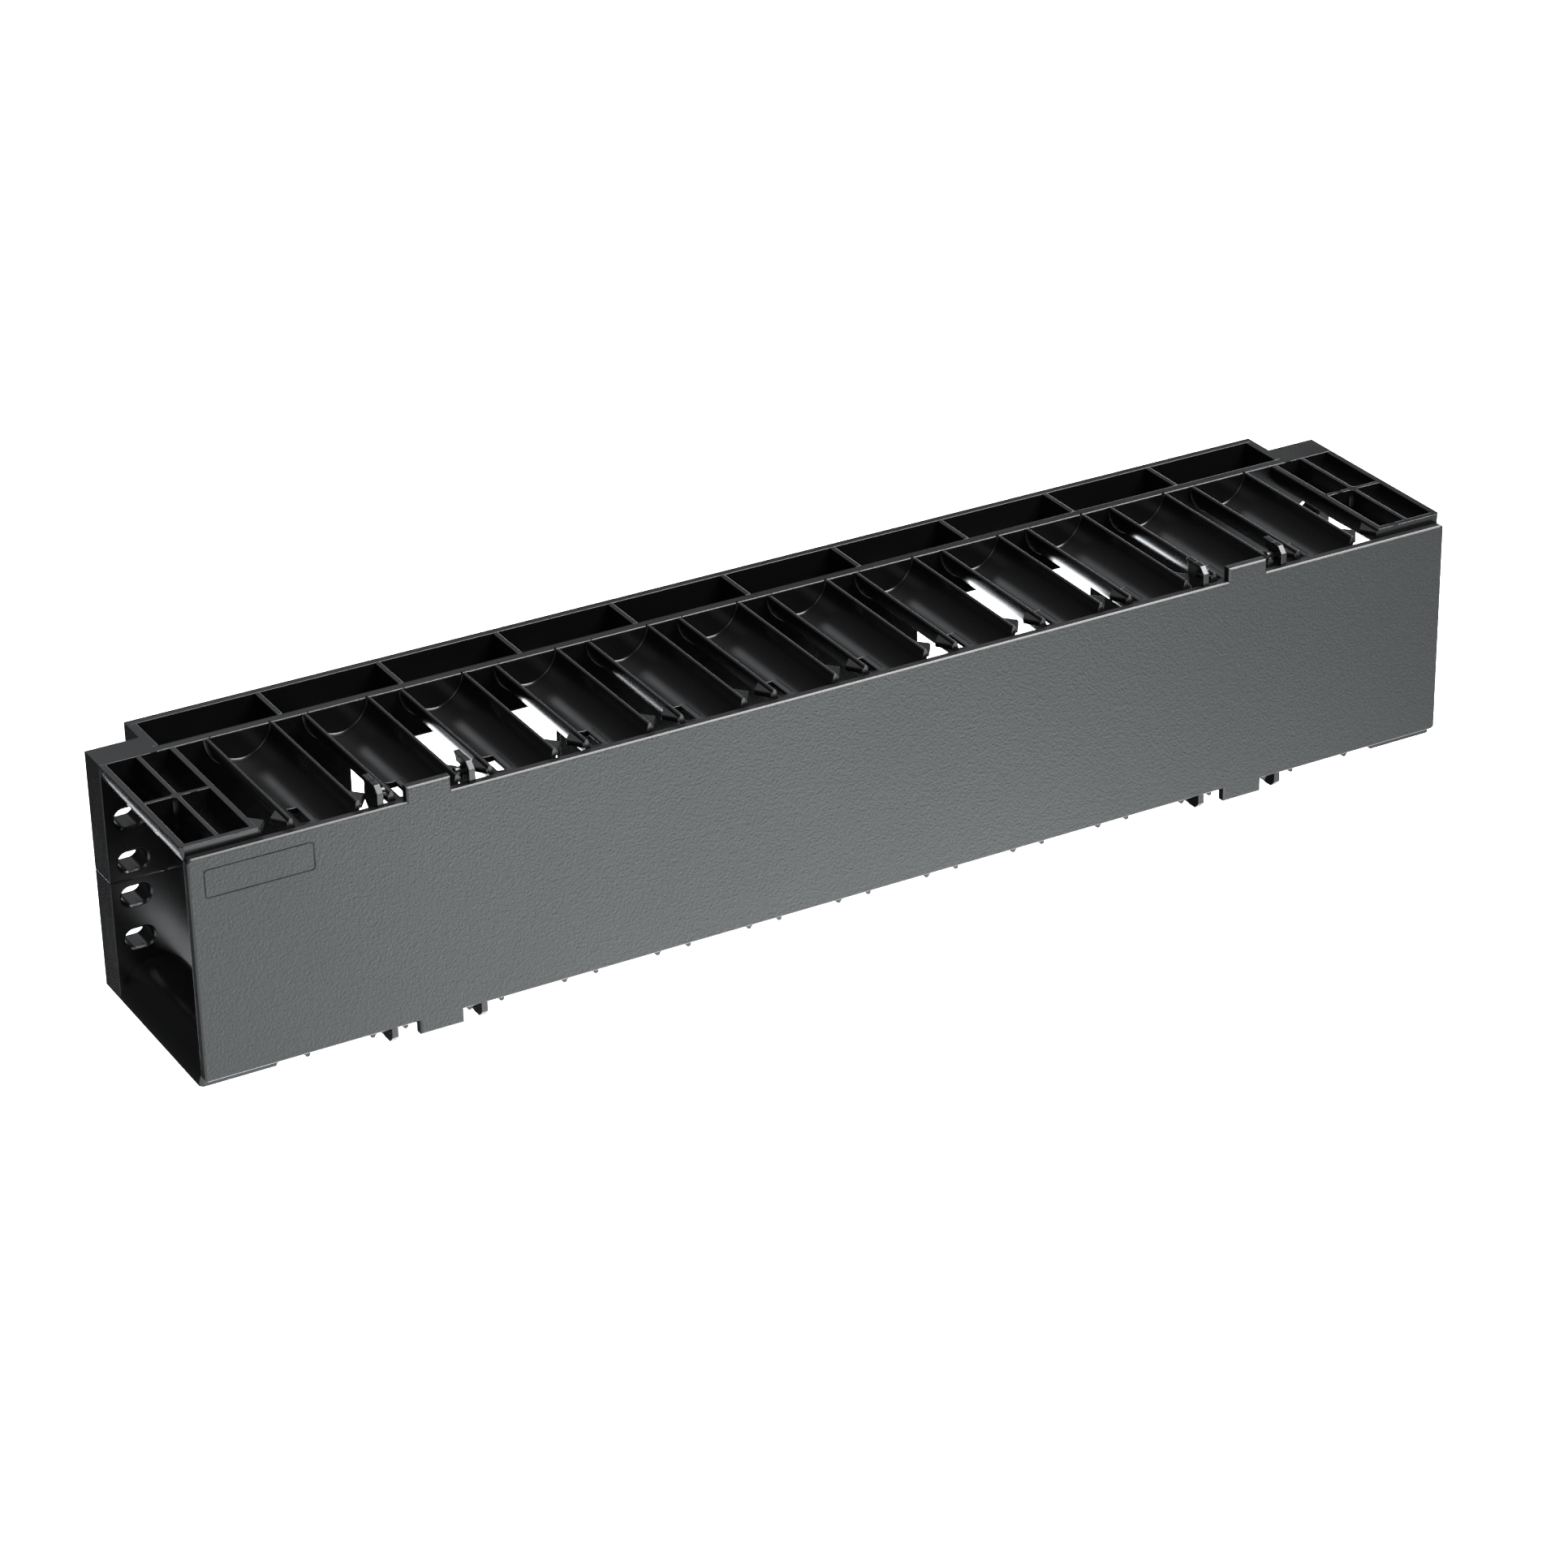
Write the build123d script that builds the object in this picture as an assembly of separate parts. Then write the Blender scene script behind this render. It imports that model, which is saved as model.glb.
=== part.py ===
from build123d import *
import os

# Horizontal cable manager, two rack units high, for a 19-inch rack. All sizes are in millimetres.
# +X runs along the width, -Y points out of the rack and +Z is up. The origin lies on the mounting
# face of the ears, at mid-width and mid-height. The upper half is modelled, and the lower half is
# its mirror image.

# Overall
PANEL_WIDTH = 482.6
BODY_HEIGHT = 86.5
EAR_WIDTH = 19.1
EAR_DEPTH = 12.4
SEAM_CHAMFER = 0.25

# Back wall, the ribbed trough behind it and the two pass-through windows
WALL_THICKNESS = 3.8
TROUGH_REACH = 13.0
TROUGH_REAR_WALL = 2.9
TROUGH_END_WALL = 3.2
TROUGH_FLOOR = 2.4
TROUGH_CELLS = 10
TROUGH_RIB = 1.8
PASS_WIDTH = 88.6
PASS_HEIGHT = 49.0
PASS_SPACING = 219.0
PASS_WALL = 2.4

# Rack slots, at the universal hole heights of a 19-inch rack
SLOT_INSET = 8.75
SLOT_HEIGHTS = (6.35, 22.225)
SLOT_LENGTH = 10.3
SLOT_WIDTH = 6.8
SLOT_ENTRY = 0.65
SLOT_RELIEF = 2.0
SLOT_RELIEF_DEPTH = 2.9

# Half-pipe fingers
FINGER_COUNT = 12
FINGER_LENGTH = 66.05
FINGER_RADIUS = 12.4
FINGER_WALL = 1.5
FINGER_FLOOR = 2.2
CREST_OUTER_BEVEL = 0.4
CREST_INNER_BEVEL = 0.3
HATCH_WIDTH = 5.4
HATCH_LENGTH = 11.0
HATCH_SETBACK = 13.6

# Retaining tips on the finger walls
TIP_THICKNESS = 1.8
TIP_DROP = 0.75
TIP_GAP = 2.2
TIP_ROOT = 0.6
TIP_LENGTH = 10.3
TIP_SHOULDER = 9.4
TIP_NOSE = 5.2
TIP_NOSE_FLAT = 0.6
TIP_STEP = 0.5
TIP_BEVEL = 0.35

# End boxes
BOX_WIDTH = 26.7
BOX_WALL = 2.3
BOX_RIB = 1.6
BOX_BOSS_RADIUS = 1.9
BOX_CORNER_BEVEL = 1.2

# Hinge pins
PIN_RADIUS = 1.5
PIN_SETBACK = 3.75
PIN_DEPTH = 0.85
PIN_FIT = 0.05
SIDE_GAP = 0.3

# Cover
COVER_SIDE_INSET = 0.55
COVER_TOP_INSET = 3.05
COVER_THICKNESS = 3.2
COVER_PLATE = 2.3
COVER_GAP = 0.3
COVER_RIM = 2.2
COVER_CORNER = 1.4
COVER_EDGE_BEVEL = 0.6
TAB_WIDTH = 15.7
TAB_REACH = 5.0
FIELD_WIDTH = 38.0
FIELD_HEIGHT = 10.3
FIELD_SIDE_INSET = 4.95
FIELD_TOP_INSET = 4.7
FIELD_CORNER = 1.2
FIELD_GROOVE = 0.5
FIELD_DEPTH = 0.3

# Hooks, in profile from the pin that each one grips
HOOK_THICKNESS = 2.2
HOOK_WEB = 0.8
HOOK_STANDOFF = 2.7
HOOK_RADIUS = 4.5
HOOK_LEAD = 5.4
HOOK_BROW_LOW = 2.1
HOOK_BROW_SLOPE = 2.3
HOOK_HEEL = 3.4
HOOK_HEEL_SLOPE = 2.2
HOOK_FOOT = 11.4
SLOT_FLARE = 0.3

# Places that follow from the sizes above
TOP = BODY_HEIGHT / 2
WALL_FRONT = -EAR_DEPTH
WALL_REAR = WALL_FRONT + WALL_THICKNESS
FRONT = WALL_FRONT - FINGER_LENGTH
EAR_EDGE = PANEL_WIDTH / 2
TROUGH_EDGE = EAR_EDGE - EAR_WIDTH
CELL_REAR = TROUGH_REACH - TROUGH_REAR_WALL
SLOT_X = EAR_EDGE - SLOT_INSET
BOX_EDGE = EAR_EDGE - BOX_WIDTH
FINGER_PITCH = 2 * (BOX_EDGE + FINGER_RADIUS) / (FINGER_COUNT + 1)
FINGER_GAP = FINGER_PITCH - 2 * FINGER_RADIUS
BORE_DEPTH = FINGER_RADIUS - FINGER_FLOOR
BORE_RADIUS = ((FINGER_RADIUS - FINGER_WALL) ** 2 + BORE_DEPTH**2) / (2 * BORE_DEPTH)
PINNED_FINGERS = (2, FINGER_COUNT - 1)
TIP_REACH = (FINGER_GAP - TIP_GAP) / 2
TIP_TOP = TOP - TIP_DROP
HOOK_INNER = FINGER_RADIUS + HOOK_STANDOFF
PIN_END = HOOK_INNER + HOOK_THICKNESS - HOOK_WEB - SIDE_GAP
PIN_Y = FRONT + PIN_SETBACK
PIN_Z = TOP - PIN_DEPTH
COVER_REAR = FRONT - COVER_GAP
COVER_FRONT = COVER_REAR - COVER_THICKNESS
COVER_EDGE = EAR_EDGE - COVER_SIDE_INSET
COVER_TOP = TOP - COVER_TOP_INSET


def block(x_range, y_range, z_range):
    """An upright box between two corners."""
    ranges = (x_range, y_range, z_range)
    size = [high - low for low, high in ranges]
    middle = [(high + low) / 2 for low, high in ranges]
    return Pos(*middle) * Box(*size)


def finger_x(number):
    """Centre of a finger, counted from the left."""
    return (number - (FINGER_COUNT + 1) / 2) * FINGER_PITCH


def windows(y_range, wall=0):
    """The two pass-through windows, over the upper half of their height, grown by a wall."""
    half = PASS_WIDTH / 2 + wall
    middle = PASS_SPACING / 2
    right = block((middle - half, middle + half), y_range, (0, PASS_HEIGHT / 2 + wall))
    return right + mirror(right, about=Plane.YZ)


def back_wall():
    wall = block((-TROUGH_EDGE, TROUGH_EDGE), (WALL_FRONT, WALL_REAR), (0, TOP))
    return wall - windows((WALL_FRONT, WALL_REAR))


def ear():
    """Right-hand ear: two rack slots with bevelled entries, relieved from behind, and a bevelled seam."""
    body = block((TROUGH_EDGE, EAR_EDGE), (WALL_FRONT, 0), (0, TOP))
    seam = [edge for edge in body.edges() if edge.center().Z < SEAM_CHAMFER / 2]
    body = chamfer([edge for edge in seam if edge.center().X > TROUGH_EDGE + SEAM_CHAMFER], SEAM_CHAMFER)
    slot = extrude(Plane.XZ * SlotOverall(SLOT_LENGTH, SLOT_WIDTH), EAR_DEPTH)
    relief = Plane.XZ * Rectangle(SLOT_LENGTH + 2 * SLOT_RELIEF, SLOT_WIDTH + 2 * SLOT_RELIEF)
    slot += extrude(relief, SLOT_RELIEF_DEPTH)
    for height in SLOT_HEIGHTS:
        body -= Pos(SLOT_X, 0, height) * slot
    front = body.faces().sort_by(Axis.Y)[0]
    return chamfer([edge for rim in front.inner_wires() for edge in rim.edges()], SLOT_ENTRY)


def trough_rear_wall():
    """Rear wall of the trough, with a bevelled seam at mid-height."""
    body = block((-TROUGH_EDGE, TROUGH_EDGE), (CELL_REAR, TROUGH_REACH), (0, TOP))
    seam = [edge for edge in body.edges() if edge.center().Z < SEAM_CHAMFER / 2]
    body = chamfer([edge for edge in seam if edge.center().Y > TROUGH_REACH - SEAM_CHAMFER], SEAM_CHAMFER)
    return body - windows((CELL_REAR, TROUGH_REACH))


def trough_floor():
    """Floor of the trough at mid-height, in three lengths between and beside the windows."""
    floor = block((-TROUGH_EDGE, TROUGH_EDGE), (WALL_REAR, CELL_REAR), (0, TROUGH_FLOOR))
    return floor - windows((WALL_REAR, CELL_REAR), PASS_WALL)


def pass_through_sleeves():
    """Walls round each window, from the back wall to the rear wall."""
    return windows((WALL_REAR, CELL_REAR), PASS_WALL) - windows((WALL_REAR, CELL_REAR))


def trough_cross_walls():
    """Two end walls and the ribs that part the trough into equal cells, clear of the sleeves."""
    pitch = (2 * TROUGH_EDGE - 2 * TROUGH_END_WALL + TROUGH_RIB) / TROUGH_CELLS
    spans = [(TROUGH_EDGE - TROUGH_END_WALL, TROUGH_EDGE), (-TROUGH_EDGE, TROUGH_END_WALL - TROUGH_EDGE)]
    for number in range(1, TROUGH_CELLS):
        middle = (number - TROUGH_CELLS / 2) * pitch
        spans.append((middle - TROUGH_RIB / 2, middle + TROUGH_RIB / 2))
    sleeves = windows((WALL_REAR, CELL_REAR), PASS_WALL)
    walls = [block(span, (WALL_REAR, CELL_REAR), (TROUGH_FLOOR, TOP)) - sleeves for span in spans]
    return Compound(children=walls)


def corner_cut(x, size):
    """Triangle that bevels a crest corner at x: outwards, or inwards where the size is negative."""
    return Polygon((x - size, 0), (x + size, 0), (x + size, -2 * abs(size)), align=None)


def crest_cuts():
    """Bevels on both edges of a wall that rises to the crest on the right-hand side."""
    outer = corner_cut(FINGER_RADIUS, CREST_OUTER_BEVEL)
    inner = corner_cut(FINGER_RADIUS - FINGER_WALL, -CREST_INNER_BEVEL)
    return outer + inner


def half_pipe():
    """One finger as a trough that opens upwards, centred on x = 0. Its wall thickens towards the floor."""
    bore = Pos(0, BORE_RADIUS - BORE_DEPTH) * Circle(BORE_RADIUS)
    section = Circle(FINGER_RADIUS) - bore
    section &= Pos(0, -FINGER_RADIUS / 2) * Rectangle(2 * FINGER_RADIUS, FINGER_RADIUS)
    section = section - crest_cuts() - mirror(crest_cuts(), about=Plane.YZ)
    return Pos(0, WALL_FRONT, TOP) * extrude(Plane.XZ * section, FINGER_LENGTH)


def hatch():
    """The rectangular opening in the floor near a finger's front."""
    low = FRONT + HATCH_SETBACK
    floor = TOP - FINGER_RADIUS
    heights = (floor - FINGER_FLOOR, floor + 2 * FINGER_FLOOR)
    return block((-HATCH_WIDTH / 2, HATCH_WIDTH / 2), (low, low + HATCH_LENGTH), heights)


def tip():
    """Retaining tip to the right of a rounded wall whose outer face is at x = 0."""
    nose_y = FRONT + TIP_NOSE
    outline = Polygon(
        (-TIP_ROOT, FRONT + TIP_LENGTH),
        (TIP_STEP, FRONT + TIP_SHOULDER),
        (TIP_REACH, nose_y + TIP_NOSE_FLAT / 2),
        (TIP_REACH, nose_y - TIP_NOSE_FLAT / 2),
        (TIP_STEP, FRONT),
        (-TIP_ROOT, FRONT),
        align=None,
    )
    plate = extrude(Pos(0, 0, TIP_TOP - TIP_THICKNESS) * outline, TIP_THICKNESS, dir=(0, 0, 1))
    rim = plate.faces().sort_by(Axis.Z)[-1].edges()
    front = [edge for edge in rim if edge.center().Y < nose_y - TIP_NOSE_FLAT and edge.center().X > 0]
    flank = Pos(-FINGER_RADIUS, WALL_FRONT, TOP) * extrude(Plane.XZ * Circle(FINGER_RADIUS), FINGER_LENGTH)
    return chamfer(front, TIP_BEVEL) - flank


def tip_pair(offset):
    """Tips on both sides of a finger, with the wall faces at plus and minus the offset."""
    right = Pos(offset, 0, 0) * tip()
    return [right, mirror(right, about=Plane.YZ)]


def finger(number):
    """A finger. One that carries hinge pins has its own tips, trimmed to clear the hooks."""
    body = half_pipe() - hatch()
    if number not in PINNED_FINGERS:
        return Pos(finger_x(number), 0, 0) * body
    trim = HOOK_INNER - SIDE_GAP
    middle = block((-trim, trim), (FRONT, WALL_FRONT), (TIP_TOP - TIP_THICKNESS, TIP_TOP))
    for one in tip_pair(FINGER_RADIUS):
        body += one & middle
    pin = Pos(FINGER_RADIUS, PIN_Y, PIN_Z) * extrude(Plane.YZ * Circle(PIN_RADIUS), PIN_END - FINGER_RADIUS)
    body = body + pin + mirror(pin, about=Plane.YZ)
    return Pos(finger_x(number), 0, 0) * body


def rounded_box(wall, y_range):
    """Solid between two quarter-round flanks under the top face, set in by a wall thickness."""
    radius = FINGER_RADIUS - wall
    left = BOX_EDGE + FINGER_RADIUS
    right = EAR_EDGE - FINGER_RADIUS
    section = Rectangle(right - left, 2 * radius) + Pos((left - right) / 2, 0) * Circle(radius)
    section += Pos((right - left) / 2, 0) * Circle(radius)
    section &= Pos(0, -radius / 2) * Rectangle(EAR_EDGE, radius)
    low, high = y_range
    return Pos((left + right) / 2, high, TOP) * extrude(Plane.XZ * section, high - low)


def end_box():
    """Right-hand end box: a rounded tray that opens upwards, with two crossed ribs and a boss."""
    body = rounded_box(0, (FRONT, WALL_FRONT))
    pocket = rounded_box(BOX_WALL, (FRONT + BOX_WALL, WALL_FRONT))
    middle_x = (BOX_EDGE + EAR_EDGE) / 2
    middle_y = (FRONT + BOX_WALL + WALL_FRONT) / 2
    half = BOX_RIB / 2
    floor = TOP - FINGER_RADIUS
    pocket -= block((middle_x - half, middle_x + half), (FRONT, WALL_FRONT), (floor, TOP))
    pocket -= block((BOX_EDGE, EAR_EDGE), (middle_y - half, middle_y + half), (floor, TOP))
    boss = Pos(middle_x, middle_y, floor) * extrude(Circle(BOX_BOSS_RADIUS), FINGER_RADIUS)
    body = body - (pocket - boss)
    bevel = Polygon(
        (EAR_EDGE, FRONT),
        (EAR_EDGE - BOX_CORNER_BEVEL, FRONT),
        (EAR_EDGE, FRONT + BOX_CORNER_BEVEL),
        align=None,
    )
    body -= extrude(Pos(0, 0, floor) * bevel, FINGER_RADIUS, dir=(0, 0, 1))
    crest = extrude(Plane.XZ * corner_cut(BOX_EDGE, -CREST_OUTER_BEVEL), FINGER_LENGTH, dir=(0, -1, 0))
    return body - Pos(0, WALL_FRONT, TOP) * crest


def box_tip():
    """The tip that faces the last finger across the slot."""
    return Pos(BOX_EDGE, 0, 0) * mirror(tip(), about=Plane.YZ)


def retaining_tips():
    """Every plain tip of a half: both sides of the fingers that carry no pins, and the end boxes."""
    tips = [box_tip(), mirror(box_tip(), about=Plane.YZ)]
    for number in range(1, FINGER_COUNT + 1):
        if number not in PINNED_FINGERS:
            tips += [Pos(finger_x(number), 0, 0) * one for one in tip_pair(FINGER_RADIUS)]
    return Compound(children=tips)


def cover_panel():
    """Flat panel with a rim behind it, two thumb tabs on each long edge and a bare outlined field."""
    face = RectangleRounded(2 * COVER_EDGE, 2 * COVER_TOP, COVER_CORNER)
    for number in PINNED_FINGERS:
        face += Pos(finger_x(number), 0) * Rectangle(TAB_WIDTH, 2 * (COVER_TOP + TAB_REACH))
    body = Pos(0, COVER_REAR, 0) * extrude(Plane.XZ * face, COVER_THICKNESS)
    body = chamfer(body.faces().sort_by(Axis.Y)[0].edges(), COVER_EDGE_BEVEL)
    inside = Rectangle(2 * (COVER_EDGE - COVER_RIM), 2 * (COVER_TOP - COVER_RIM))
    body -= Pos(0, COVER_REAR, 0) * extrude(Plane.XZ * inside, COVER_THICKNESS - COVER_PLATE)
    field = RectangleRounded(FIELD_WIDTH, FIELD_HEIGHT, FIELD_CORNER)
    field -= RectangleRounded(FIELD_WIDTH - 2 * FIELD_GROOVE, FIELD_HEIGHT - 2 * FIELD_GROOVE,
                              FIELD_CORNER - FIELD_GROOVE)
    field_x = FIELD_SIDE_INSET + FIELD_WIDTH / 2 - COVER_EDGE
    field_z = COVER_TOP - FIELD_TOP_INSET - FIELD_HEIGHT / 2
    groove = extrude(Plane.XZ * field, FIELD_DEPTH)
    return body - Pos(field_x, COVER_FRONT + FIELD_DEPTH, field_z) * groove


def side_plate(faces, thickness):
    """Faces drawn in the YZ plane, extruded together along +X."""
    first, *rest = [extrude(Plane.YZ * face, thickness, dir=(1, 0, 0)) for face in faces]
    return first.fuse(*rest)


def hook_profile():
    """Side view of an upper hook: its outline and the round head on the pin's axis."""
    face_y = PIN_Y - HOOK_LEAD
    heel_y = PIN_Y + HOOK_RADIUS
    outline = Polygon(
        (face_y, PIN_Z - HOOK_FOOT),
        (face_y, PIN_Z + HOOK_BROW_LOW),
        (face_y + HOOK_BROW_SLOPE, PIN_Z + HOOK_BROW_LOW + HOOK_BROW_SLOPE),
        (PIN_Y, PIN_Z + HOOK_RADIUS),
        (heel_y, PIN_Z),
        (heel_y, PIN_Z - HOOK_HEEL),
        (heel_y - HOOK_HEEL_SLOPE, PIN_Z - HOOK_HEEL - HOOK_HEEL_SLOPE),
        (COVER_FRONT + COVER_PLATE, PIN_Z - HOOK_FOOT),
        align=None,
    )
    return outline, Pos(PIN_Y, PIN_Z) * Circle(HOOK_RADIUS)


def pin_slot():
    """Slot that grips a pin, open to the rear and flared towards mid-height for the swing."""
    radius = PIN_RADIUS + PIN_FIT
    mouth = PIN_Y + 2 * HOOK_RADIUS
    opening = Polygon(
        (PIN_Y, PIN_Z + radius),
        (PIN_Y, PIN_Z - radius),
        (PIN_Y + HOOK_RADIUS, PIN_Z - radius - SLOT_FLARE),
        (mouth, PIN_Z - radius - 2 * SLOT_FLARE),
        (mouth, PIN_Z + radius),
        align=None,
    )
    return opening, Pos(PIN_Y, PIN_Z) * Circle(radius)


def hook(number, side, panel):
    """Upper hook on one side (-1 or 1) of a pinned finger, seated on the cover."""
    plate = side_plate(hook_profile(), HOOK_THICKNESS)
    plate -= side_plate(pin_slot(), HOOK_THICKNESS - HOOK_WEB)
    plate = Pos(HOOK_INNER, 0, 0) * plate
    if side < 0:
        plate = mirror(plate, about=Plane.YZ)
    return Pos(finger_x(number), 0, 0) * plate - panel


def both_halves(name, shape):
    """The named piece of the upper half and its mirror image in the lower half."""
    return {f"upper_{name}": shape, f"lower_{name}": mirror(shape, about=Plane.XY)}


def both_sides(name, shape):
    """The same for a right-hand piece that also stands on the left."""
    pieces = both_halves(f"{name}_right", shape)
    pieces.update(both_halves(f"{name}_left", mirror(shape, about=Plane.YZ)))
    return pieces


def build():
    pieces = both_halves("back_wall", back_wall())
    pieces.update(both_halves("trough_rear_wall", trough_rear_wall()))
    pieces.update(both_halves("trough_floor", trough_floor()))
    pieces.update(both_halves("trough_cross_walls", trough_cross_walls()))
    pieces.update(both_halves("pass_through_sleeves", pass_through_sleeves()))
    pieces.update(both_sides("ear", ear()))
    pieces.update(both_sides("end_box", end_box()))
    for number in range(1, FINGER_COUNT + 1):
        pieces.update(both_halves(f"finger_{number:02d}", finger(number)))
    pieces.update(both_halves("retaining_tips", retaining_tips()))
    panel = cover_panel()
    pieces["cover_panel"] = panel
    for number in PINNED_FINGERS:
        for side, side_name in ((-1, "left"), (1, "right")):
            shape = hook(number, side, panel)
            pieces.update(both_halves(f"cover_hook_{number:02d}_{side_name}", shape))
    return pieces


os.makedirs("parts", exist_ok=True)
for node, shape in build().items():
    export_step(shape, f"parts/{node}.step")
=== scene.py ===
import math

import bmesh
import bpy
from mathutils import Matrix, Vector


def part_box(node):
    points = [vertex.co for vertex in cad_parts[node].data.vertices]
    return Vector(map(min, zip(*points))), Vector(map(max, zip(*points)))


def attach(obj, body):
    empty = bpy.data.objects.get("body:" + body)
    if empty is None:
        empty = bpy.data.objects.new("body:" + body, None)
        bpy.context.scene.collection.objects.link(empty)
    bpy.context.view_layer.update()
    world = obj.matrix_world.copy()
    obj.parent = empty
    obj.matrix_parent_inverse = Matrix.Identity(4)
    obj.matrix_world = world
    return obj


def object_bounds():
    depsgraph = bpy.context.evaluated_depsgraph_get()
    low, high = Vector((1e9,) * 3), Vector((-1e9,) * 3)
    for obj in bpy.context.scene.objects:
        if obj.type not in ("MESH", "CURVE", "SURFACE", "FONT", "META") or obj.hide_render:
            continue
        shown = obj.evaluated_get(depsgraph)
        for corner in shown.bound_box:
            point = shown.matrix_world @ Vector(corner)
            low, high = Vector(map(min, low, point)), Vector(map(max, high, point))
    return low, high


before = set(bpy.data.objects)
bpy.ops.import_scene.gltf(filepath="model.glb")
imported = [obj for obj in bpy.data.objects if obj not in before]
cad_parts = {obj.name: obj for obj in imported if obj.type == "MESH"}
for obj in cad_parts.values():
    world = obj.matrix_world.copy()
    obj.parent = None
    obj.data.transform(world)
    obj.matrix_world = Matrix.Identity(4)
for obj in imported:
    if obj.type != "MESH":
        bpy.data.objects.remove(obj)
cad_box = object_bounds()

# Camera, solved from the photograph: what it looks at, how far from it, and its angles in degrees
IMAGE_SIZE = 1932
FOCAL_PIXELS = 5920.9
SENSOR_WIDTH = 36.0
CAMERA_TARGET = Vector((-0.00776, -0.045, -0.01195))
CAMERA_DISTANCE = 1.64524
CAMERA_AZIMUTH = -28.971
CAMERA_ELEVATION = 27.249
CAMERA_ROLL = -1.202
CAMERA_REACH = 50

# Floor and backdrop. The floor leaves room below for the open cover.
FLOOR_SIZE = 9.0
FLOOR_DROP = 0.053
SHELL_RADIUS = 6.0
SHELL_SEGMENTS = 48
SHELL_RINGS = 24
PAPER_TONE = 0.8
PAPER_ROUGHNESS = 0.9
PAPER_GLOW = 1.0

# Glowing card in front of the object: its extent, and how its glow fades towards the left and the right
CARD_SIDES = (-0.7, 1.1)
CARD_FRONT = -1.2
CARD_LIFT = 0.0005
CARD_GLOW = 4.6
CARD_LEFT = (-0.28, -0.04, 0.5, 1.0)
CARD_RIGHT = (0.1, 0.36, 1.0, 0.25)

# Lamps: name, place, target, size, watts
LAMPS = (
    ("overhead_right", (0.88, -0.2, 1.7), (0, -0.03, 0), (1.7, 1.2), 137),
    ("front_left", (-1.2, -1.6, 1.1), (-0.1, -0.05, 0), (0.9, 0.9), 9),
)

# Soft reflections of the room: direction, the angles in degrees where each fades from full to nothing, glow
ROOM_TONE = (0.93, 0.97, 1.0)
ROOM_GLOW = 0.06
REFLECTIONS = (
    ((0.20, 0.78, -0.60), 15, 18.5, 5.0),
    ((0.68, 0.73, -0.05), 7, 16, 3.5),
    ((0.22, 0.78, 0.58), 2, 13, 0.9),
    ((0.43, 0.78, 0.46), 10, 20, 0.08),
    ((0.43, -0.78, -0.46), 25, 55, 0.35),
    ((0.43, 0.30, -0.85), 15, 35, 2.0),
    ((-0.78, -0.43, -0.46), 12, 28, 1.2),
)

# Plastics. Edge radii are in metres. A noise is a scale per metre and a detail.
# A bump is a distance in metres and a strength.
IOR = 1.5
NOISE_ROUGHNESS = 0.55
NOISE_BAND = (0.3, 0.7)
EDGE_SAMPLES = 6
BODY_EDGE = 0.00045
WALL_EDGE = 0.0009
COVER_EDGE = 0.0005
BODY_TONE = (0.0045, 0.0045, 0.0047, 1)
BODY_ROUGHNESS = (0.19, 0.29)
FLOW_NOISE = (38.0, 3.0)
FLOW_BUMP = (0.0004, 0.04)
BODY_GRAIN_NOISE = (2400.0, 2.0)
BODY_GRAIN_BUMP = (0.00002, 0.03)
COVER_TONE = (0.006, 0.006, 0.0062, 1)
SPECKLE_TONES = ((0.026, 0.028, 0.027, 1), (0.034, 0.036, 0.035, 1))
SPECKLE_BAND = (0.35, 0.65)
CLOUD_NOISE = (9.0, 3.0)
COVER_ROUGHNESS = (0.27, 0.33)
FACE_ROUGHNESS = 0.18
INSIDE_ROUGHNESS = 0.45
COVER_GRAIN_NOISE = (1200.0, 3.0)
COVER_GRAIN_BUMP = (0.0005, 0.65)
PIT_SCALE = 1000.0
PIT_BUMP = (0.0003, 0.4)

# How far a normal leans to the front or the rear, from none of the face's finish to all of it
FACING = (0.85, 0.95)

# Places where the ears join the back wall in one plane, without an edge
EAR_JOINT = 0.2222
JOINT_MARGIN = 0.0012

# Fingers, and the fillets where they meet the back wall
FINGER_COUNT = 12
FINGER_WALL = 0.0015
FINGER_FLOOR = 0.0022
FILLET = 0.00055
ARC_STEPS = 28
FILLET_STEPS = 4

# Lips that narrow the opening in the floor of each finger, measured from the finger's middle and front
LIP_START = 0.0008
LIP_END = 0.0027
LIP_SETBACK = 0.0136
LIP_LENGTH = 0.011
LIP_THICKNESS = 0.0012
LIP_STEPS = 4

# Horn at the rear of each hook. Its overlap and its rear edge are in hook radii from the pin.
HOOK_RADIUS = 0.0045
HORN_INSET = 0.00002
HORN_OVERLAP = 0.95
HORN_EDGE = ((0.925, 0.38), (0.97, 0.55), (1.08, 0.78), (1.31, 0.99))
HORN_STEPS = 8

WELD_DISTANCE = 1e-7


def new_material(name, finish):
    """A node material with one Principled shader, and its tree and shader."""
    material = bpy.data.materials.new(name)
    material.use_nodes = True
    tree = material.node_tree
    shader = tree.nodes["Principled BSDF"]
    for socket, value in finish.items():
        shader.inputs[socket].default_value = value
    return material, tree, shader


def add_math(tree, operation, *terms):
    """A Math node. Each term is a socket or a number."""
    node = tree.nodes.new("ShaderNodeMath")
    node.operation = operation
    for socket, term in zip(node.inputs, terms):
        if isinstance(term, (int, float)):
            socket.default_value = term
        else:
            tree.links.new(term, socket)
    return node.outputs["Value"]


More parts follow.
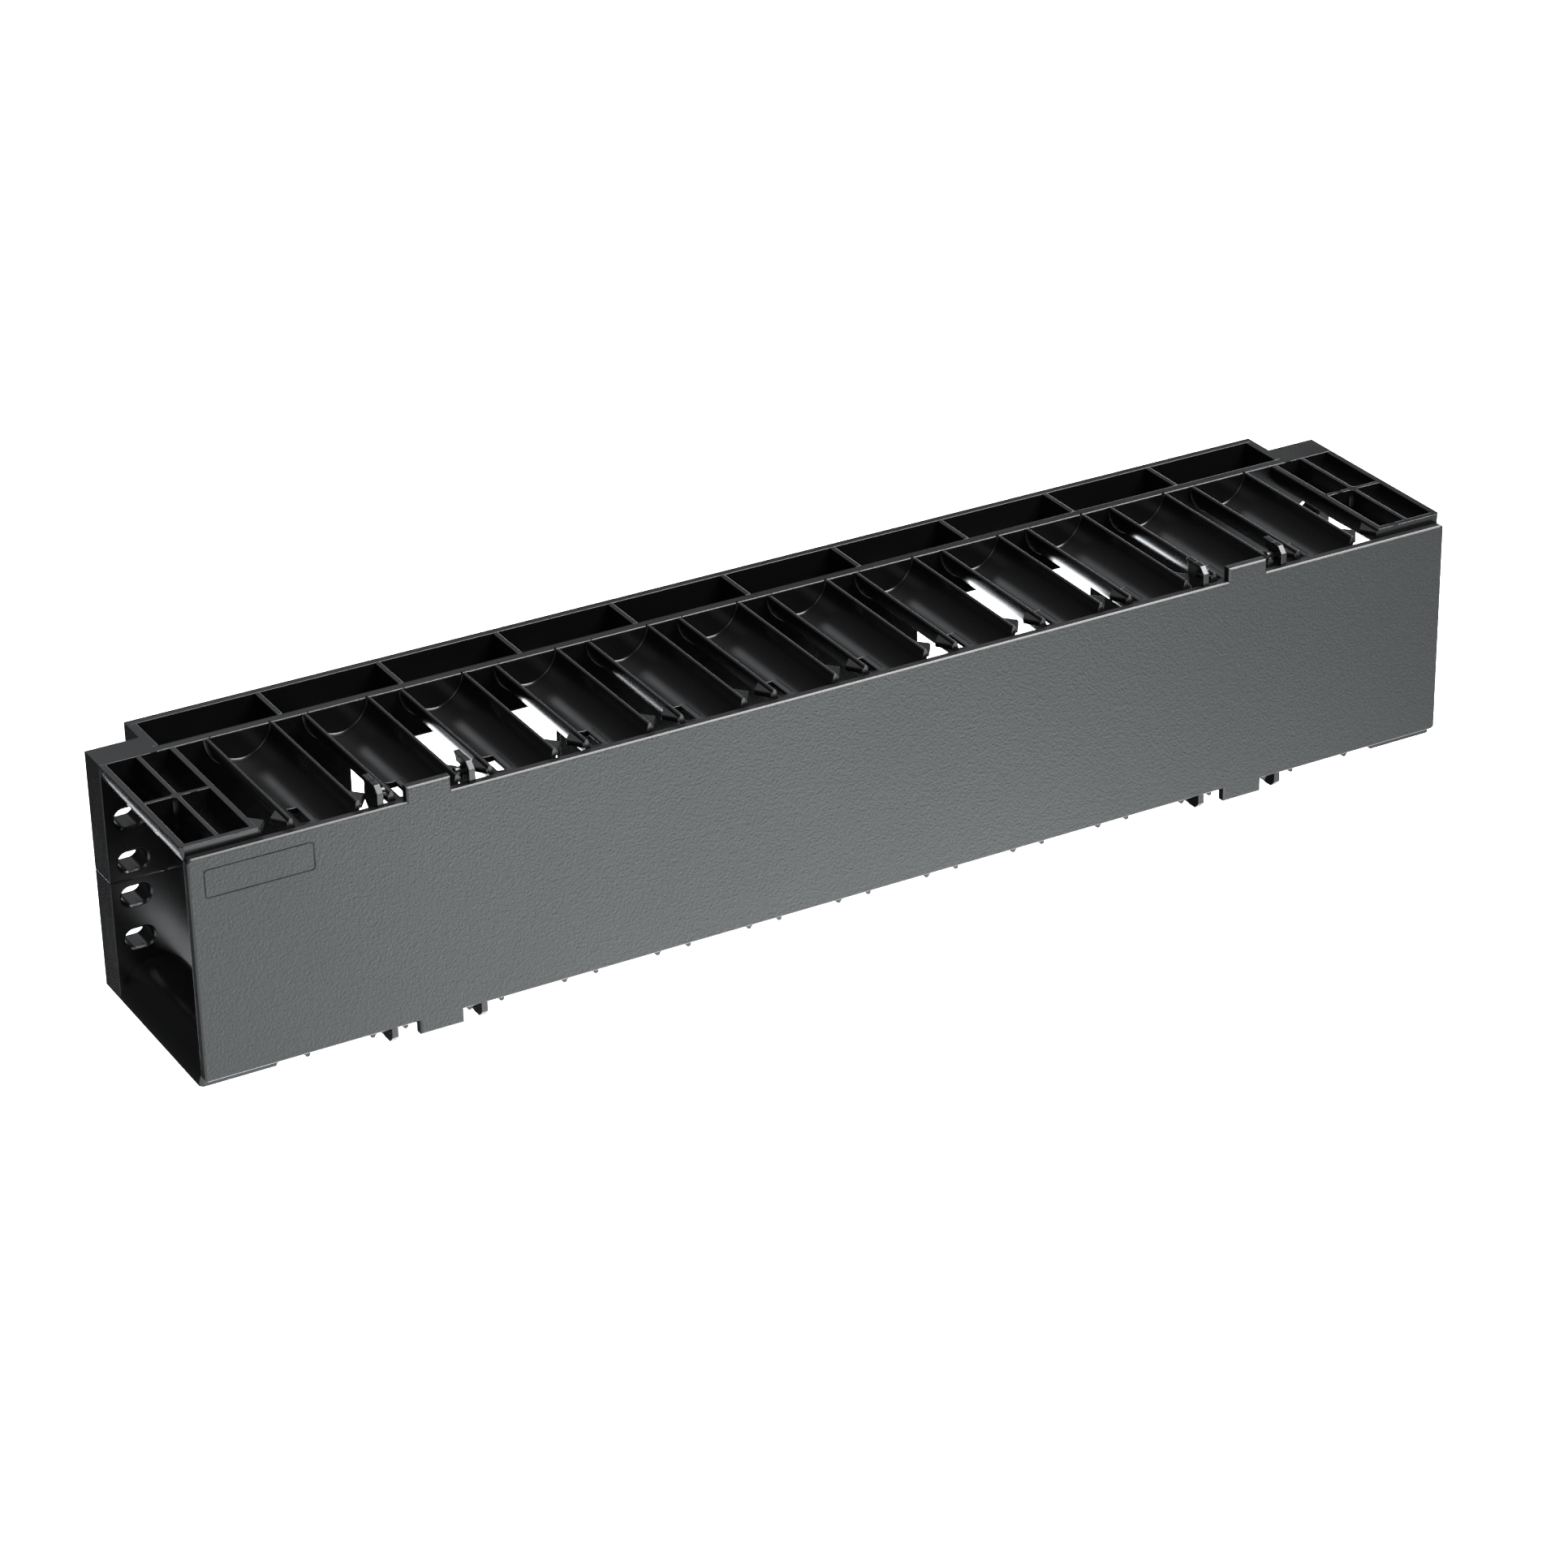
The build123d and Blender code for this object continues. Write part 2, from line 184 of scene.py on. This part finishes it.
def add_mix(tree, kind, factor, first, second):
    """A Mix node of kind VECTOR or RGBA. Each end is a socket or a constant."""
    node = tree.nodes.new("ShaderNodeMix")
    node.data_type = kind
    ending = "Color" if kind == "RGBA" else "Vector"
    sockets = {socket.identifier: socket for socket in node.inputs}
    tree.links.new(factor, sockets["Factor_Float"])
    for letter, term in (("A", first), ("B", second)):
        socket = sockets[f"{letter}_{ending}"]
        if isinstance(term, tuple):
            socket.default_value = term
        else:
            tree.links.new(term, socket)
    return next(socket for socket in node.outputs if socket.identifier == f"Result_{ending}")


def add_noise(tree, place, scale, detail):
    """A Noise texture."""
    noise = tree.nodes.new("ShaderNodeTexNoise")
    noise.inputs["Scale"].default_value = scale
    noise.inputs["Detail"].default_value = detail
    noise.inputs["Roughness"].default_value = NOISE_ROUGHNESS
    tree.links.new(place, noise.inputs["Vector"])
    return noise.outputs["Fac"]


def add_range(tree, value, low_in, high_in, low_out, high_out):
    """A Map Range node, clamped at both ends."""
    node = tree.nodes.new("ShaderNodeMapRange")
    numbers = {"From Min": low_in, "From Max": high_in, "To Min": low_out, "To Max": high_out}
    for socket, number in numbers.items():
        node.inputs[socket].default_value = number
    tree.links.new(value, node.inputs["Value"])
    return node.outputs["Result"]


def add_bump(tree, height, bump_size, normal):
    """A Bump node on top of another normal."""
    bump = tree.nodes.new("ShaderNodeBump")
    bump.inputs["Distance"].default_value, bump.inputs["Strength"].default_value = bump_size
    tree.links.new(height, bump.inputs["Height"])
    tree.links.new(normal, bump.inputs["Normal"])
    return bump.outputs["Normal"]


def split_axes(tree, vector):
    """The X, Y and Z outputs of a vector."""
    axes = tree.nodes.new("ShaderNodeSeparateXYZ")
    tree.links.new(vector, axes.inputs["Vector"])
    return axes.outputs


def soft_edges(tree, radius):
    """Rounds the shading of sharp edges, as on a moulding."""
    bevel = tree.nodes.new("ShaderNodeBevel")
    bevel.samples = EDGE_SAMPLES
    bevel.inputs["Radius"].default_value = radius
    return bevel.outputs["Normal"]


def flat_joints(tree, place, rounded):
    """The rounded normal, but the true one where the ears join the back wall in one plane."""
    side = add_math(tree, "ABSOLUTE", split_axes(tree, place)["X"])
    near = add_math(tree, "COMPARE", side, EAR_JOINT, JOINT_MARGIN)
    true_normal = tree.nodes.new("ShaderNodeNewGeometry").outputs["Normal"]
    return add_mix(tree, "VECTOR", near, rounded, true_normal)


def body_plastic(name, edge_radius):
    """Glossy moulded black plastic with faint flow marks and a trace of grain."""
    material, tree, shader = new_material(name, {"Base Color": BODY_TONE, "IOR": IOR})
    place = tree.nodes.new("ShaderNodeTexCoord").outputs["Object"]
    flow = add_noise(tree, place, *FLOW_NOISE)
    grain = add_noise(tree, place, *BODY_GRAIN_NOISE)
    tree.links.new(add_range(tree, flow, *NOISE_BAND, *BODY_ROUGHNESS), shader.inputs["Roughness"])
    normal = flat_joints(tree, place, soft_edges(tree, edge_radius))
    normal = add_bump(tree, flow, FLOW_BUMP, normal)
    normal = add_bump(tree, grain, BODY_GRAIN_BUMP, normal)
    tree.links.new(normal, shader.inputs["Normal"])
    return material


def cover_plastic():
    """Satin face with a fine spark-eroded grain, smoother edges and a matt inside."""
    material, tree, shader = new_material("satin_black", {"IOR": IOR})
    source = tree.nodes.new("ShaderNodeTexCoord")
    place = source.outputs["Object"]
    facing = split_axes(tree, source.outputs["Normal"])["Y"]
    face = add_range(tree, add_math(tree, "MULTIPLY", facing, -1.0), *FACING, 0.0, 1.0)
    inside = add_range(tree, facing, *FACING, 0.0, INSIDE_ROUGHNESS)

    grain = add_noise(tree, place, *COVER_GRAIN_NOISE)
    speckle = add_mix(tree, "RGBA", add_range(tree, grain, *SPECKLE_BAND, 0.0, 1.0), *SPECKLE_TONES)
    tree.links.new(add_mix(tree, "RGBA", face, COVER_TONE, speckle), shader.inputs["Base Color"])

    cloud = add_noise(tree, place, *CLOUD_NOISE)
    gloss = add_range(tree, cloud, *NOISE_BAND, *COVER_ROUGHNESS)
    gloss = add_math(tree, "ADD", add_math(tree, "MULTIPLY", face, FACE_ROUGHNESS), gloss)
    tree.links.new(add_math(tree, "ADD", gloss, inside), shader.inputs["Roughness"])

    cells = tree.nodes.new("ShaderNodeTexVoronoi")
    cells.inputs["Scale"].default_value = PIT_SCALE
    tree.links.new(place, cells.inputs["Vector"])
    pits = add_math(tree, "MULTIPLY", cells.outputs["Distance"], face)
    grain = add_math(tree, "MULTIPLY", grain, face)
    normal = add_bump(tree, grain, COVER_GRAIN_BUMP, soft_edges(tree, COVER_EDGE))
    normal = add_bump(tree, pits, PIT_BUMP, normal)
    tree.links.new(normal, shader.inputs["Normal"])
    return material


def new_object(name, mesh, material):
    """An object in the scene with one material."""
    mesh.materials.append(material)
    made = bpy.data.objects.new(name, mesh)
    bpy.context.collection.objects.link(made)
    return made


def new_mesh(name, work):
    """A mesh from a bmesh, which is freed."""
    mesh = bpy.data.meshes.new(name)
    work.to_mesh(mesh)
    work.free()
    return mesh


def add_piece(name, mesh, material, body):
    """A moulded piece that moves with a body."""
    piece = new_object(name, mesh, material)
    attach(piece, body)


def add_grids(name, grids, material, smooth):
    """One piece of the body from grids of points."""
    points = []
    faces = []
    for grid in grids:
        for row, following in zip(grid, grid[1:]):
            start = len(points)
            points += row + following
            count = len(row)
            for k in range(start, start + count - 1):
                faces.append((k, k + 1, k + count + 1, k + count))
    mesh = bpy.data.meshes.new(name)
    mesh.from_pydata(points, [], faces)
    work = bmesh.new()
    work.from_mesh(mesh)
    bmesh.ops.remove_doubles(work, verts=work.verts, dist=WELD_DISTANCE)
    for face in work.faces:
        face.smooth = smooth
    work.to_mesh(mesh)
    work.free()
    add_piece(name, mesh, material, "body")


def finger_row():
    """The middles of the fingers along X, and the outer radius, bore radius and bore depth of each."""
    (low_x, _, floor_z), (high_x, _, top_z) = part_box("upper_finger_01")
    first = (low_x + high_x) / 2
    (low_x, _, _), (high_x, _, _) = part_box("upper_finger_12")
    last = (low_x + high_x) / 2
    step = FINGER_COUNT - 1
    centres = [first + (last - first) * number / step for number in range(FINGER_COUNT)]
    outer = top_z - floor_z
    depth = outer - FINGER_FLOOR
    bore = ((outer - FINGER_WALL) ** 2 + depth**2) / (2 * depth)
    return centres, outer, bore, depth


def add_fillet(grids, centre, radius, height, wall_y, outwards):
    """A concave strip between a half-pipe of some radius and the wall behind it, in both halves."""
    sign = 1 if outwards else -1
    for half in (1, -1):
        grid = []
        for step in range(ARC_STEPS + 1):
            angle = math.pi * (1 + step / ARC_STEPS)
            row = []
            for turn in range(FILLET_STEPS + 1):
                sweep = math.pi / 2 * turn / FILLET_STEPS
                reach = radius + sign * FILLET * (1 - math.cos(sweep))
                y = wall_y - FILLET * (1 - math.sin(sweep))
                z = half * (height + reach * math.sin(angle))
                row.append((centre + reach * math.cos(angle), y, z))
            grid.append(row)
        grids.append(grid)


def add_finger_fillets(material):
    """Moulding fillets round both faces of every finger, where it leaves the back wall."""
    centres, outer, bore, depth = finger_row()
    _, (_, wall_y, top_z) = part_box("upper_finger_01")
    grids = []
    for centre in centres:
        add_fillet(grids, centre, bore, top_z + bore - depth, wall_y, False)
        add_fillet(grids, centre, outer, top_z, wall_y, True)
    add_grids("finger_root_fillets", grids, material, True)


def add_opening_lips(material):
    """Thin lips along the right side of the openings in the floors of the fingers."""
    centres, _, bore, depth = finger_row()
    (_, front_y, _), (_, _, top_z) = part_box("upper_finger_01")
    near = front_y + LIP_SETBACK
    grids = []
    for centre in centres:
        for half in (1, -1):
            face = []
            for step in range(LIP_STEPS + 1):
                reach = LIP_START + (LIP_END - LIP_START) * step / LIP_STEPS
                height = top_z - depth + bore - math.sqrt(bore**2 - reach**2)
                face.append((centre + reach, half * height))
            back = [(x, z - half * LIP_THICKNESS) for x, z in reversed(face)]
            outline = face + back + face[:1]
            grids.append([[(x, y, z) for x, z in outline] for y in (near, near + LIP_LENGTH)])
    add_grids("finger_opening_lips", grids, material, False)


def horn_outline():
    """The horn's rear edge, and the arc inside the hook that closes it, in hook radii from the pin."""
    start = math.atan2(HORN_EDGE[0][1], HORN_EDGE[0][0])
    outline = list(HORN_EDGE)
    for step in range(HORN_STEPS + 1):
        angle = math.pi / 2 + (start - math.pi / 2) * step / HORN_STEPS
        outline.append((HORN_OVERLAP * math.cos(angle), HORN_OVERLAP * math.sin(angle)))
    return outline


def add_hook_horns(material):
    """The horns that carry each hook's round back up to a point behind the pin."""
    outline = horn_outline()
    work = bmesh.new()
    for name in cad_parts:
        if "_cover_hook_" not in name:
            continue
        low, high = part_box(name)
        half = 1 if name.startswith("upper") else -1
        pin_y = high[1] - HOOK_RADIUS
        pin_z = (high[2] if half > 0 else low[2]) - half * HOOK_RADIUS
        ends = []
        for x in (low[0] + HORN_INSET, high[0] - HORN_INSET):
            corners = [(x, pin_y + y * HOOK_RADIUS, pin_z + half * z * HOOK_RADIUS) for y, z in outline]
            ends.append([work.verts.new(corner) for corner in corners])
            work.faces.new(ends[-1])
        near, far = ends
        for k in range(len(outline)):
            work.faces.new((near[k - 1], near[k], far[k], far[k - 1]))
    bmesh.ops.recalc_face_normals(work, faces=work.faces)
    add_piece("cover_hook_horns", new_mesh("cover_hook_horns", work), material, "cover")


def dress_nodes():
    """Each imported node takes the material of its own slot, and the small forms are added."""
    body = body_plastic("moulded_black", BODY_EDGE)
    wall = body_plastic("moulded_black_wall", WALL_EDGE)
    special = {"cover_panel": cover_plastic(), "upper_back_wall": wall, "lower_back_wall": wall}
    for name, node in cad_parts.items():
        for slot in node.material_slots:
            slot.material = special.get(name, body)
    add_finger_fillets(body)
    add_opening_lips(body)
    add_hook_horns(body)


def flat_sheet(name, sides, front, back, height):
    """A level rectangle."""
    left, right = sides
    corners = [(left, front, height), (right, front, height), (right, back, height), (left, back, height)]
    mesh = bpy.data.meshes.new(name)
    mesh.from_pydata(corners, [], [(0, 1, 2, 3)])
    return mesh


def paper():
    """Matt white paper that glows evenly, so that no shadow shows on it."""
    finish = {
        "Base Color": (PAPER_TONE, PAPER_TONE, PAPER_TONE, 1),
        "Roughness": PAPER_ROUGHNESS,
        "Emission Color": (1, 1, 1, 1),
        "Emission Strength": PAPER_GLOW,
    }
    return new_material("white_paper", finish)[0]


def add_floor(material):
    """The pale floor, which doesn't show in the object."""
    size = FLOOR_SIZE / 2
    mesh = flat_sheet("floor", (-size, size), -size, size, cad_box[0][2] - FLOOR_DROP)
    floor = new_object("floor", mesh, material)
    floor.visible_glossy = False
    floor.visible_diffuse = False


def add_backdrop(material):
    """A pale shell round the scene, which only the camera sees."""
    work = bmesh.new()
    bmesh.ops.create_uvsphere(work, u_segments=SHELL_SEGMENTS, v_segments=SHELL_RINGS, radius=SHELL_RADIUS)
    shell = new_object("backdrop", new_mesh("backdrop", work), material)
    shell.visible_glossy = False
    shell.visible_diffuse = False
    shell.visible_shadow = False


def add_card():
    """A glowing card that lies in front of the object and is seen only in reflections."""
    finish = {"Base Color": (0, 0, 0, 1), "Specular IOR Level": 0.0, "Emission Color": (*ROOM_TONE, 1)}
    material, tree, shader = new_material("glowing_card", finish)
    across = split_axes(tree, tree.nodes.new("ShaderNodeTexCoord").outputs["Object"])["X"]
    left = add_range(tree, across, *CARD_LEFT)
    right = add_range(tree, across, *CARD_RIGHT)
    glow = add_math(tree, "MULTIPLY", add_math(tree, "MULTIPLY", left, right), CARD_GLOW)
    tree.links.new(glow, shader.inputs["Emission Strength"])
    height = cad_box[0][2] - FLOOR_DROP + CARD_LIFT
    mesh = flat_sheet("card", CARD_SIDES, CARD_FRONT, cad_box[0][1], height)
    card = new_object("card", mesh, material)
    card.visible_camera = False
    card.visible_diffuse = False
    card.visible_shadow = False


def add_lamp(name, place, target, size, power):
    """A soft rectangular lamp that looks at a target."""
    data = bpy.data.lights.new(name, "AREA")
    data.shape = "RECTANGLE"
    data.size, data.size_y = size
    data.energy = power
    lamp = bpy.data.objects.new(name, data)
    bpy.context.collection.objects.link(lamp)
    lamp.location = place
    lamp.rotation_euler = (Vector(target) - Vector(place)).to_track_quat("-Z", "Y").to_euler()


def add_room():
    """A dim room with a few broad bright areas."""
    world = bpy.data.worlds.new("studio")
    world.use_nodes = True
    tree = world.node_tree
    background = tree.nodes["Background"]
    background.inputs["Color"].default_value = (*ROOM_TONE, 1)
    place = tree.nodes.new("ShaderNodeTexCoord").outputs["Generated"]
    strength = ROOM_GLOW
    for direction, inner, outer, glow in REFLECTIONS:
        dot = tree.nodes.new("ShaderNodeVectorMath")
        dot.operation = "DOT_PRODUCT"
        tree.links.new(place, dot.inputs[0])
        dot.inputs[1].default_value = Vector(direction).normalized()
        near = math.cos(math.radians(inner))
        far = math.cos(math.radians(outer))
        area = add_range(tree, dot.outputs["Value"], far, near, 0.0, glow)
        strength = add_math(tree, "ADD", area, strength)
    tree.links.new(strength, background.inputs["Strength"])
    bpy.context.scene.world = world


def add_studio():
    """Room, lamps, card, floor and backdrop."""
    add_room()
    for lamp in LAMPS:
        add_lamp(*lamp)
    add_card()
    material = paper()
    add_floor(material)
    add_backdrop(material)


def add_camera():
    """The photograph's camera."""
    azimuth = math.radians(CAMERA_AZIMUTH)
    elevation = math.radians(CAMERA_ELEVATION)
    roll = math.radians(CAMERA_ROLL)
    level = math.cos(elevation)
    back = Vector((math.sin(azimuth) * level, -math.cos(azimuth) * level, math.sin(elevation)))
    right = Vector((0, 0, 1)).cross(back).normalized()
    up = back.cross(right)
    turned_right = math.cos(roll) * right + math.sin(roll) * up
    turned_up = math.cos(roll) * up - math.sin(roll) * right
    data = bpy.data.cameras.new("camera")
    data.sensor_width = SENSOR_WIDTH
    data.lens = SENSOR_WIDTH * FOCAL_PIXELS / IMAGE_SIZE
    data.clip_end = CAMERA_REACH
    camera = bpy.data.objects.new("camera", data)
    bpy.context.collection.objects.link(camera)
    turn = Matrix((turned_right, turned_up, back)).transposed().to_4x4()
    camera.matrix_world = Matrix.Translation(CAMERA_TARGET + CAMERA_DISTANCE * back) @ turn
    bpy.context.scene.camera = camera


dress_nodes()
add_studio()
add_camera()
bpy.context.scene.view_settings.view_transform = "Standard"
